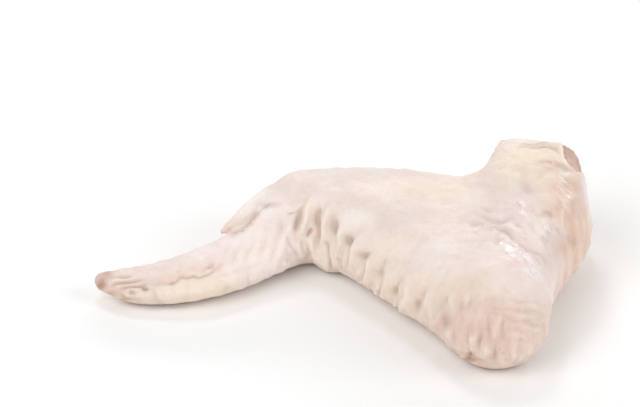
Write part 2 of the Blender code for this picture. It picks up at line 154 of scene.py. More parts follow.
def limbGap(name, points, cap=1.0, square=(2.0, 2.0), roll=0.0):
    # about how far a point is outside an egg profile carried along the limb's axis, less than 0 inside
    limb = limbs[name]
    reach = limb["size"].max() + farAway
    low, high = limb["axis"].min(0) - reach, limb["axis"].max(0) + reach
    near = np.flatnonzero(((points > low) & (points < high)).all(1))
    gap = np.full(len(points), farAway)
    if len(near) == 0:
        return gap
    _, side, over, ahead, size = alongLimb(limb, points[near])
    side, over = (side * math.cos(roll) + over * math.sin(roll),
                  over * math.cos(roll) - side * math.sin(roll))
    wide = np.where(side > 0, size[:, 0], size[:, 1])
    high = np.where(over > 0, size[:, 2], size[:, 3])
    end = np.minimum(wide, high) * cap
    power = np.where(over > 0, square[0], square[1])
    x, y, z = np.abs(side) / wide, np.abs(over) / high, np.abs(ahead) / end
    if square == (2.0, 2.0):
        level = np.sqrt(x * x + y * y + z * z) + 1e-9
        slope = np.sqrt((x / wide) ** 2 + (y / high) ** 2 + (z / end) ** 2) / level
    else:
        level = (x**power + y**power + z**power) ** (1 / power) + 1e-9
        p = power - 1
        slope = np.sqrt((x**p / wide) ** 2 + (y**p / high) ** 2 + (z**p / end) ** 2)
        slope = slope * level ** (1 - power)
    gap[near] = (level - 1) / np.maximum(slope, 1e-3)
    return gap


def softUnion(a, b, blend):
    h = np.maximum(blend - np.abs(a - b), 0) / blend
    return np.minimum(a, b) - h * h * blend / 4


def softCut(a, b, blend):
    return -softUnion(-a, -b, blend)


def sheetGap(points):
    corners = np.array(webSheet["corners"])
    normal = unit(np.cross(corners[1] - corners[0], corners[2] - corners[0]))
    gap = np.abs((points - corners[0]) @ normal) - webSheet["half"]
    for k in range(3):
        side = corners[(k + 1) % 3, :2] - corners[k, :2]
        out = unit(np.array([side[1], -side[0]]))
        gap = softCut(gap, (points[:, :2] - corners[k, :2]) @ out, webSheet["edge"])
    return gap


def wingGap(points):
    gap = limbGap("forearm", points)
    gap = softUnion(gap, limbGap("elbow", points), melt["elbow"])
    gap = softUnion(gap, limbGap("neck", points), melt["neck"])
    gap = softUnion(gap, limbGap("belly", points, bellyFront, bellySquare, bellyRoll), melt["belly"])
    gap = softUnion(gap, sheetGap(points), melt["webSheet"])
    gap = softUnion(gap, limbGap("webEdge", points), melt["webEdge"])
    gap = softUnion(gap, limbGap("hand", points), melt["hand"])
    gap = softUnion(gap, limbGap("wristFlap", points), melt["wristFlap"])
    gap = softUnion(gap, limbGap("thumb", points, clawLength), melt["thumb"])
    gap = softCut(gap, (points - cutCentre) @ cutOut, shoulderCut["edge"])
    return softCut(gap, -points[:, 2], skin["tableEdge"])


def wingSlope(points, step=0.15):
    here = wingGap(points)
    return here, np.stack([wingGap(points + step * way) - here for way in np.eye(3)], 1) / step


def drawOn(points, here, slope):  # points moved onto the smooth skin along its slope
    steep = np.maximum((slope * slope).sum(1), 0.2)
    return points - np.clip(here / steep, -2, 2)[:, None] * slope


def limbTube(stations):
    # egg profile carried along a path: point(u, v) = axis(u) + cos v * width * right + sin v * height * up,
    # with both ends closed over a quarter circle
    rings, sides = skin["rings"], skin["sides"]
    limb = makeLimb(stations, rings)
    turn = np.linspace(0, math.pi / 2, 9)[1:]
    ends = np.r_[np.zeros(8, int), np.arange(rings), np.full(8, rings - 1)]
    shrink = np.r_[np.cos(turn[::-1]), np.ones(rings), np.cos(turn)].clip(0.02)
    push = np.r_[-np.sin(turn[::-1]), np.zeros(rings), np.sin(turn)]
    v = np.linspace(0, 2 * math.pi, sides, endpoint=False)
    size = limb["size"][ends]
    wide = np.where(np.cos(v) > 0, size[:, :1], size[:, 1:2]) * np.cos(v)
    high = np.where(np.sin(v) > 0, size[:, 2:3], size[:, 3:4]) * np.sin(v)
    axis = limb["axis"][ends] + (push * size.min(1))[:, None] * limb["ahead"][ends]
    grid = (axis[:, None] + (shrink[:, None] * wide)[..., None] * limb["right"][ends][:, None]
            + (shrink[:, None] * high)[..., None] * limb["over"][ends][:, None])
    k, s = np.meshgrid(np.arange(len(ends) - 1), np.arange(sides), indexing="ij")
    n = (s + 1) % sides
    quads = np.stack([k * sides + s, (k + 1) * sides + s, (k + 1) * sides + n, k * sides + n], -1)
    faces = quads.reshape(-1, 4).tolist()
    faces += [list(range(sides)), list(range(len(ends) * sides - 1, (len(ends) - 1) * sides - 1, -1))]
    return grid.reshape(-1, 3), faces


def roughSkin():
    # all tubes in one mesh, melted by a voxel remesh
    allPoints, allFaces, count = [], [], 0
    webTube = [(26.4, 22.5, 16.9, 25.0, 25.0, 4.5, 4.5), (33.0, -1.0, 17.2, 12.0, 12.0, 4.5, 4.5),
               (39.1, -22.0, 17.6, 2.0, 2.0, 4.5, 4.5)]
    for stations in [*limbStations.values(), webTube]:
        points, faces = limbTube(stations)
        past = np.maximum((points - cutCentre) @ cutOut, 0)
        points = points - past[:, None] * cutOut
        points[:, 2] = np.maximum(points[:, 2], 0)
        allPoints.append(points)
        allFaces += [[i + count for i in face] for face in faces]
        count += len(points)
    mesh = bpy.data.meshes.new("roughSkin")
    mesh.from_pydata(np.vstack(allPoints).tolist(), [], allFaces)
    rough = bpy.data.objects.new("roughSkin", mesh)
    bpy.context.scene.collection.objects.link(rough)
    remesh = rough.modifiers.new("melt", "REMESH")
    remesh.mode = "VOXEL"
    remesh.voxel_size = skin["voxel"]
    depsgraph = bpy.context.evaluated_depsgraph_get()
    melted = bpy.data.meshes.new_from_object(rough.evaluated_get(depsgraph))
    bpy.data.objects.remove(rough)
    bpy.data.meshes.remove(mesh)
    return melted


def evenOut(values, edges, share=0.5):   # each value moved towards the mean of its neighbours
    size = len(values)
    near = np.bincount(edges.ravel(), minlength=size)
    columns = values.reshape(size, -1)
    total = np.stack([np.bincount(edges[:, 0], columns[edges[:, 1], k], size)
                      + np.bincount(edges[:, 1], columns[edges[:, 0], k], size)
                      for k in range(columns.shape[1])], 1)
    moved = (1 - share) * columns + share * total / near[:, None]
    return moved.reshape(values.shape)


def waves(points, size, seed, count=26):
    # sum of plane waves in random directions, about size long: soft lumps from -1 to 1
    pick = np.random.default_rng(seed)
    way = unit(pick.normal(size=(count, 3))) * (2 * math.pi / size / pick.uniform(0.8, 1.3, (count, 1)))
    return np.cos(points @ way.T + pick.uniform(0, 2 * math.pi, count)).sum(1) * math.sqrt(2 / count) * 0.5


def scramble(cell, seed):         # a number from 0 to 1 for each cube and seed
    n = (cell @ np.array([73856093, 19349663, 83492791]) + seed * 2654435761) & 0xFFFFFFFF
    n = ((n ^ (n >> 15)) * 2246822519) & 0xFFFFFFFF
    n = ((n ^ (n >> 13)) * 3266489917) & 0xFFFFFFFF
    return ((n ^ (n >> 16)) & 0xFFFFFF) / 0xFFFFFF


def dots(points, size, seed):
    # distance to the nearest of one loose point in each cube, in cubes, and that point's own number
    place = points / size
    home = np.floor(place).astype(np.int64)
    best, own = np.full(len(points), 9.0), np.zeros(len(points))
    for step in np.ndindex(3, 3, 3):
        cell = home + np.array(step) - 1
        spot = np.stack([scramble(cell, seed + k) for k in range(3)], 1)
        gap = np.linalg.norm(cell + 0.15 + 0.7 * spot - place, axis=1)
        closer = gap < best
        own = np.where(closer, scramble(cell, seed + 5), own)
        best = np.where(closer, gap, best)
    return best, own


# The camera looks down on the wing at 30 degrees. Marks on the side it sees are placed across and
# down its 640 by 407 picture, where one millimetre is 3.722 pixels; depths are in millimetres.
viewBack = np.array((0.0, -0.866, 0.5))


def seenAt(points):
    across = 343.1 + 3.722 * points[:, 0]
    down = 305.6 - 3.722 * (0.5 * points[:, 1] + 0.866 * points[:, 2])
    return np.stack([across, down], 1)


# line, half width, depth; a depth under 0 is a raised roll
strokes = {
    "hand": [
        ([(234.5, 243), (231, 253), (227, 264)], 3.0, -0.25),
        ([(247, 237), (244.6, 248), (240, 261)], 3.0, -0.3),
        ([(260, 230), (259, 243), (254, 259)], 3.0, -0.35),
        ([(273.5, 222), (273.4, 238), (268, 259)], 3.2, -0.4),
        ([(286, 216), (287, 228), (284, 240), (280, 255), (274, 270)], 3.0, -0.6),
        ([(280, 219), (280.6, 231), (279.4, 243), (275, 257)], 2.4, 0.3),
        ([(267.5, 228), (266.4, 239), (263, 250), (258, 263)], 2.4, 0.22),
        ([(253.5, 235), (252, 245), (248, 256), (243, 267)], 2.3, 0.25),
        ([(240.5, 241), (237.5, 251), (232, 262)], 2.2, 0.2), ([(228, 246), (224, 256)], 2.0, 0.15),
        ([(288, 238), (291, 244), (295, 251), (299.5, 259)], 1.7, 0.45),
        ([(213, 262), (207, 270)], 1.5, 0.3), ([(203, 258), (196, 268)], 2.2, -0.3),
        ([(190, 262), (181, 272)], 2.2, -0.3), ([(176, 268), (166, 276)], 2.2, -0.25)],
    "handEdge": [
        ([(222, 265), (214, 270.5), (209.4, 273.4), (203, 276), (199, 278), (194, 276.7), (188, 278.4),
          (181.8, 277.2), (176, 281), (169.6, 283.6), (162, 284), (154.3, 285.6)], 1.5, 0.75),
        ([(222, 275), (236, 271.5), (251, 267), (266, 262)], 2.5, 0.35),
        ([(200, 274), (206, 268), (213, 267)], 1.3, 0.4), ([(170, 279), (174, 283)], 2.4, 0.5),
        ([(150, 295), (165, 296.5), (182, 293.5), (200, 288.5), (218, 284), (236, 280.5), (254, 275),
          (272, 269)], 6.0, -0.8),
        ([(212, 268), (219, 270)], 3, -0.4), ([(153, 287), (154.5, 294), (157, 303)], 2.0, 0.5),
        ([(172.5, 286), (173, 296)], 1.6, 0.25), ([(188, 281), (189, 294)], 1.6, 0.25)],
    "tip": [
        ([(111.4, 285.6), (119, 283.3), (129.8, 281.8), (141, 279.5)], 1.4, 1.0),
        ([(112, 281.8), (122, 280), (133, 278)], 1.8, -0.4),
        ([(120.6, 272), (128, 270.5), (137, 271)], 1.0, 0.25),
        ([(110, 278), (122, 276.5), (131, 275.5)], 1.2, 0.6),
        ([(119, 289.6), (129, 288.3), (140.5, 285.8), (146, 284)], 1.3, 0.95),
        ([(104, 276), (106, 283), (107.5, 291)], 1.4, 0.25),
        ([(141.5, 286.5), (144, 289.6), (148, 289.5)], 1.2, 1.0),
        ([(131, 291), (133.5, 294), (136, 294)], 1.2, 0.6), ([(121, 293), (124, 298.5)], 1.4, 0.5),
        ([(112, 290), (117, 296)], 2.0, -0.5), ([(126, 287), (136, 290)], 3.0, -0.3),
        ([(129, 295), (140, 298), (150, 301)], 3.4, -0.6),
        ([(110, 269.5), (118, 274), (122, 279)], 1.4, 0.25),
        ([(106, 291.5), (116, 295.5), (128, 299), (140, 301.5)], 1.4, 0.35)],
    "thumb": [
        ([(229, 234.5), (236, 230.8), (243.6, 226), (250, 220), (257, 213), (263.5, 207.5),
          (269, 203)], 1.2, 1.0),
        ([(238, 219), (248, 209.5), (258, 199.5)], 1.2, 0.2),
        ([(235, 224), (243, 217), (250, 209)], 2.4, -0.2)],
    "wrist": [
        ([(301, 206), (299, 215), (297.8, 224), (296.5, 232)], 2.2, 1.2),
        ([(287, 213.7), (294, 212), (300, 210.5)], 1.2, 0.5),
        ([(318.4, 208), (317.2, 215), (317, 222), (318.7, 230), (317.8, 240), (316.5, 252)], 2.7, 1.3),
        ([(313, 227.5), (309.5, 231.8), (307.4, 236.6)], 1.5, 0.8),
        ([(326.4, 243), (328, 250), (329.4, 255), (331.6, 263), (332.5, 269)], 1.3, 1.0),
        ([(306.5, 241), (308.5, 250), (311, 258.5)], 1.6, 0.45),
        ([(292, 241.6), (295.5, 248), (297.6, 256)], 1.5, 0.2),
        ([(337.5, 257), (340, 264), (343, 268.5)], 1.8, 0.6), ([(303, 240), (302.5, 257)], 1.5, 0.25),
        ([(322, 248), (321.5, 260)], 1.4, 0.25),
        ([(312, 197), (309, 207), (306.6, 217), (304.5, 225), (301, 234)], 3.0, -1.4),
        ([(328.5, 208), (326, 220), (324.2, 231), (322, 245)], 2.6, -1.3),
        ([(292, 218), (291, 228), (291.5, 236)], 2.6, -0.6),
        ([(299.6, 240), (300.5, 250), (303, 258)], 2.0, -0.5),
        ([(312, 240), (313.5, 250), (316, 260)], 2.6, -0.8),
        ([(333, 245), (334.2, 258), (337, 268)], 1.8, -0.8),
        ([(318, 256), (324, 262), (330, 269)], 4.5, -1.0)],
    "quills": [
        ([(341.5, 226), (340.5, 238), (338, 250), (337.5, 258)], 2.4, -1.0),
        ([(356, 238), (353.5, 250), (351.5, 262), (351, 270)], 2.6, -1.0),
        ([(371, 254), (369, 266), (366.5, 278), (366.5, 285)], 2.8, -1.0),
        ([(388, 268), (386, 281), (384, 292), (384.5, 298)], 2.8, -0.9),
        ([(407, 282), (405.5, 296), (403, 304), (403.5, 310)], 3.0, -0.9),
        ([(429, 290), (426, 304), (423, 314), (423, 321)], 3.2, -0.7),
        ([(346.5, 253), (344.5, 262), (343.5, 271)], 1.5, -0.6),
        ([(361.5, 266), (359.5, 275), (359, 285)], 1.5, -0.6),
        ([(378, 285), (376, 292), (375.5, 299)], 1.5, -0.5),
        ([(396.5, 299), (394.5, 306), (394.5, 312)], 1.5, -0.5),
        ([(349.5, 250), (348, 258), (347, 267)], 1.2, 0.4),
        ([(364, 264), (363, 273), (362.8, 281)], 1.2, 0.4),
        ([(381, 281), (380, 289), (380, 296)], 1.2, 0.4),
        ([(398, 297), (398.5, 304), (399, 310)], 1.2, 0.4),
        ([(386, 257), (381.5, 264), (379, 270)], 2.6, 0.5),
        ([(401.8, 277), (397.5, 284), (394.5, 290)], 2.6, 0.5),
        ([(425, 287), (419.5, 296), (416, 303)], 2.8, 0.6),
        ([(445, 296), (440, 306), (437, 312)], 2.6, 0.6)],
    "elbow": [
        ([(466.5, 346), (468.5, 352), (467.5, 358)], 1.5, 0.8),
        ([(486.7, 306), (497, 307.8), (508, 307), (520, 309.5), (532, 310), (543, 312.5)], 1.9, 0.28),
        ([(503, 317), (514, 320.5), (524, 320.5), (533, 324), (541, 324)], 1.8, 0.28),
        ([(500, 300.5), (511, 299), (522, 301.5), (533, 301), (545, 304)], 1.8, 0.2),
        ([(510, 328), (520, 330), (529, 329.5), (539, 333)], 1.8, 0.2),
        ([(508, 338), (518, 339), (527, 342), (534, 341)], 1.8, 0.18),
        ([(500, 312.5), (515, 314), (532, 316.5)], 1.8, -0.3),
        ([(508, 304), (524, 304.5), (541, 307)], 1.6, -0.25),
        ([(512, 325), (526, 327), (538, 328.5)], 1.6, -0.25), ([(512, 334.5), (530, 337)], 1.8, -0.25),
        ([(488, 296), (492, 303)], 1.2, 0.25), ([(470, 297), (468, 309)], 1.4, 0.3),
        ([(461, 300), (459, 312)], 1.4, 0.3), ([(480.2, 292), (479.7, 306), (478.4, 320)], 3.0, -0.5),
        ([(466, 290), (464, 306)], 2.4, -0.5), ([(452, 289), (448.5, 305)], 2.6, -0.6),
        ([(442.5, 302), (439, 312), (436, 324)], 2.4, -0.7), ([(493, 331), (492, 340)], 3.0, -0.3)],
    "web": [
        ([(476.5, 215), (487, 220), (497, 222), (506, 220), (513, 217)], 2.2, 0.5),
        ([(494, 228), (503, 231), (511, 236.5), (519, 241)], 1.7, 0.6),
        ([(516, 242.5), (524, 245.5), (532, 250), (540, 254.5), (544, 259), (546, 264)], 1.6, 0.6),
        ([(505, 225), (513, 229), (520, 235), (528, 239)], 2.4, -0.4),
        ([(494, 236), (503, 240), (511, 245)], 2.4, -0.35),
        ([(528, 226), (535, 232), (541, 239), (546, 247)], 2.0, 0.3),
        ([(522, 252), (531, 258), (538, 266)], 1.2, 0.35),
        ([(480, 208), (488, 212), (498, 213)], 1.8, 0.3),
        ([(466, 222), (476, 226), (484, 225)], 1.8, 0.25),
        ([(517, 212), (524, 217), (529, 224)], 2.4, -0.4),
        ([(531, 208), (536, 216), (541, 222)], 2.0, 0.3), ([(487, 229), (495, 231)], 2, 0.4),
        ([(512, 222), (519, 226), (524, 233)], 2, 0.3),
        ([(503, 240), (513, 247), (523, 256), (530, 264)], 1.4, 0.35),
        ([(510, 238), (520, 246), (531, 254), (539, 262)], 1.2, 0.4),
        ([(514, 233), (524, 239), (533, 246)], 1.2, 0.3)],
    "shoulder": [
        ([(521, 168), (523, 180), (528.5, 189), (536, 197), (543, 207)], 5.0, 0.5),
        ([(541.5, 210.5), (546, 212), (550.5, 214), (551.5, 220)], 1.0, 0.6),
        ([(548, 219), (555, 226), (559.5, 232), (563, 241), (569.5, 252)], 2.4, 0.35),
        ([(541, 164), (550, 162.6), (557, 164.5), (566, 168.6), (578, 172.5)], 2.0, 0.6),
        ([(536, 166), (548, 168)], 1.6, 0.2), ([(562.3, 198), (562, 214), (562, 230)], 1.6, -0.4),
        ([(557, 204), (556, 218)], 1.3, 0.2), ([(568, 205), (568.5, 222)], 1.3, 0.15),
        ([(574, 200), (575, 216)], 1.2, 0.3),
        ([(517, 147.5), (527, 145.5), (538, 146.5), (549, 146.5), (556, 149), (560, 154)], 1.2, 0.5),
        ([(538, 143.6), (550, 143.3), (560, 145.5), (563.5, 151)], 1.6, -0.4)],
}

# Dimples and soft bumps: middle, half width and half height, depth, and how brown it is inside: partly the
# pit's own brown, partly painted shade
dimples = [
    ((334.3, 226.5), (3.3, 7.0), 1.5, 0.8), ((334.8, 231), (2.2, 3.5), 0.7, 0.8),
    ((348.1, 239.5), (4.8, 6.0), 1.6, 0.7), ((347.8, 242.5), (3, 3), 0.5, 0.5),
    ((363.9, 255), (6.0, 4.0), 1.3, 0.6), ((362, 259), (3, 5), 0.5, 0.3),
    ((378.9, 273), (4.4, 6.3), 1.2, 0.5), ((393.9, 291.5), (3.0, 4.4), 1.2, 0.6),
    ((415.5, 305.8), (2.6, 6.2), 1.2, 0.6), ((441, 320), (4.5, 7), 0.9, 0.4),
    ((459, 328), (3, 5), 0.6, 0.3), ((569.5, 238), (4, 5.5), 0.7, 0.3),
    ((447.5, 333), (5.4, 7.5), -0.7, 0), ((443.5, 322.5), (4.5, 4), 0.6, 0.3),
    ((461, 334), (5.4, 8.0), -0.6, 0), ((472, 341), (5.4, 8.0), -0.9, 0),
    ((458, 346), (4.6, 3.6), -0.4, 0), ((485, 350), (6.0, 7.0), -0.8, 0),
    ((500, 358), (6.0, 6.0), -0.7, 0), ((515, 354), (5.6, 6.0), -0.4, 0),
    ((496, 321.5), (4.6, 7.5), -0.35, 0), ((456.7, 320.6), (3.4, 7.0), -0.6, 0),
    ((467, 336), (1.5, 8), 0.5, 0.3), ((479.4, 340), (1.8, 8), 0.6, 0.4),
    ((454.2, 335), (1.5, 7), 0.45, 0.3), ((493, 352), (1.9, 6.5), 0.45, 0.3),
    ((508, 356), (1.8, 6), 0.2, 0.2), ((500.6, 324), (1.8, 7.5), 0.45, 0.3),
    ((487, 326), (1.9, 8), 0.4, 0.25), ((507, 310.5), (4.5, 3.4), -0.3, 0),
    ((527.8, 303), (6.5, 3.4), -0.3, 0), ((474, 318), (3.4, 9), -0.4, 0),
    ((526.7, 330.5), (9, 3.4), -0.3, 0), ((453, 304), (3.4, 6.5), -0.5, 0),
    ((434, 322), (3.2, 4.5), -0.7, 0), ((493, 217.5), (8, 4), -0.5, 0),
    ((235, 233.6), (3.4, 1.4), 0.1, 0.7), ((241, 231), (3.4, 1.6), 0.1, 0.9),
    ((246, 227.4), (3, 1.8), 0.1, 0.9), ((250.5, 223.4), (2.6, 2.2), 0.1, 0.8),
    ((254.5, 219), (2.2, 2.4), 0.1, 0.7), ((258.5, 214.6), (2.2, 2.4), 0.1, 0.5),
    ((468, 356), (2.4, 3.2), 0.9, 0.7), ((441, 343), (2.8, 3.2), 0.7, 0.3),
    ((453, 350.5), (2.2, 2.8), 0.5, 0.2), ((477, 359), (4.5, 1.6), 0.35, 0.3),
    ((452, 341), (4.4, 5.0), -0.4, 0),
]


def drawnHeight(points, normal):
    wobble = np.stack([waves(points, 5, 20), waves(points, 5, 21)], 1)
    place = seenAt(points) + 0.9 * wobble
    facing = fade(normal @ viewBack, -0.45, 0.05)
    height, crease, brown, ridge = (np.zeros(len(points)) for _ in range(4))

    def nearby(low, high):
        return np.flatnonzero(((place > low) & (place < high)).all(1) & (facing > 0))

    for line, half, depth in sum(strokes.values(), []):
        line = smoothPath(line, 4 * len(line))
        half = 1.1 * half + 0.2
        near = nearby(line.min(0) - 3 * half, line.max(0) + 3 * half)
        if len(near) == 0:
            continue
        start, step = line[:-1], np.diff(line, axis=0)
        length2 = np.maximum((step * step).sum(1), 1e-6)
        reach = place[near][:, None, :] - start
        part = np.clip((reach * step).sum(2) / length2, 0, 1)
        far2 = ((reach - part[:, :, None] * step) ** 2).sum(2)
        best = far2.argmin(1)
        row = np.arange(len(near))
        share = (best + part[row, best]) / len(start)
        body = 0.25 + 0.75 * np.sin(math.pi * np.clip(share, 0, 1)) ** 0.6
        shape = body * facing[near] * np.exp(-far2[row, best] / half**2)
        height[near] -= depth * shape
        # crease marks where shade is painted in grooves, ridge where light is painted on raised rolls
        if depth > 0:
            crease[near] = np.maximum(crease[near], shape * min(depth, 1.0) ** 1.5)
        else:
            ridge[near] = np.maximum(ridge[near], shape * min(-depth, 1.0))
    for middle, size, depth, tone in dimples:
        middle, size = np.array(middle), 1.15 * np.array(size)
        near = nearby(middle - 3 * size, middle + 3 * size)
        shape = facing[near] * np.exp(-(((place[near] - middle) / size) ** 2).sum(1))
        height[near] -= depth * shape
        brown[near] = np.maximum(brown[near], tone * shape)
        if depth < 0:
            ridge[near] = np.maximum(ridge[near], shape * min(-depth, 1.0))
    return height, crease, brown, ridge


def cutHeight(points):
    across = unit(np.cross(cutOut, (0.0, 0.0, 1.0)))
    up = np.cross(across, cutOut)
    offset = points - cutCentre
    flat = np.stack([offset @ across, offset @ up], 1)
    facing = fade(offset @ cutOut, -0.9, -0.15)
    depth = -limbGap("belly", points, square=bellySquare, roll=bellyRoll)
    depth = depth + 0.4 * waves(points, 4, 74)
    inside = fade(depth, shoulderCut["rim"] * 0.8, shoulderCut["rim"] * 1.2)
    meat = facing * inside
    bend = flat + 0.7 * np.stack([waves(points, 5, 75), waves(points, 5, 76)], 1)
    boneGap = np.hypot(bend[:, 0] - shoulderCut["bone"][0], 0.86 * (bend[:, 1] - shoulderCut["bone"][1]))
    dome = np.sqrt(np.clip(1 - (boneGap / shoulderCut["boneRadius"]) ** 2, 0, 1))
    bone = meat * (boneGap < shoulderCut["boneRadius"])
    marrow = meat * fade(shoulderCut["boneRadius"] * 0.42 - boneGap, -0.5, 0.5)
    bundle, _ = dots(np.c_[bend, np.zeros(len(bend))], 4.6, 71)
    thread, _ = dots(np.c_[bend, np.zeros(len(bend))], 1.3, 72)
    sinew = meat * (dome == 0) * fade(bundle, 0.55, 0.8)
    height = facing * (shoulderCut["boneRise"] * dome - 0.5 * marrow - shoulderCut["dip"] * inside
                       + inside * (dome == 0) * (1.3 * (0.5 - bundle) + 0.3 * (0.5 - thread)))
    # corner of bare meat beside the cut, where the skin is torn back
    seen = seenAt(points) + 0.6 * np.stack([waves(points, 3, 73), waves(points, 3, 77)], 1)
    past = seen[:, 0] - np.interp(seen[:, 1], shoulderCut["tornDown"], shoulderCut["tornAcross"])
    reach = offset @ cutOut + shoulderCut["tornReach"] + 0.8 * waves(points, 3, 78)
    near = fade(reach, 0, 0.8)
    torn = near * fade(past, -0.8, 0.8) * (points[:, 2] > 20)
    height = height - shoulderCut["tornDepth"] * torn * (1 - facing)
    lip = near * (1 - torn) * np.exp(-((past + 2.0) / 1.8) ** 2) * (points[:, 2] > 20)
    height = height + 0.3 * lip
    # painted shade on the meat along the torn skin's edge
    under = torn * np.exp(-(past / 3.0) ** 2)
    return height, {"meat": np.maximum(meat, torn), "bone": bone, "marrow": marrow, "sinew": sinew,
                    "lip": lip, "under": under}


# Tones laid over the skin: place, reach and strength of each patch, in millimetres
tones = {
    "pink": [((38.0, -36.0, 10.0), (20, 13, 14), 0.8), ((24.0, -26.0, 9.0), (10, 9, 7), 0.5)],
    "peach": [((65.5, 9.0, 18.0), (9.5, 19, 14), 1.0), ((60.0, -4.0, 10.0), (9, 8, 10), 0.7)],
    "cream": [((54.0, 24.0, 30.0), (13, 14, 9), 0.9), ((14.0, -8.0, 6.0), (16, 16, 7), 0.7),
              ((-34.0, -2.0, 6.0), (22, 6, 5), 0.9), ((25.0, 20.0, 24.0), (22, 12, 6), 0.4)],
    "lilac": [((46.0, 2.0, 27.0), (7, 9, 6), 0.6),
              ((50.0, -16.0, 24.0), (5, 7, 7), 0.5), ((-48.0, 7.0, 9.0), (10, 5, 4), 0.5)],
    "brown": [((-66.3, 4.0, 4.6), (2.3, 2.8, 2.4), 1.0)],
}

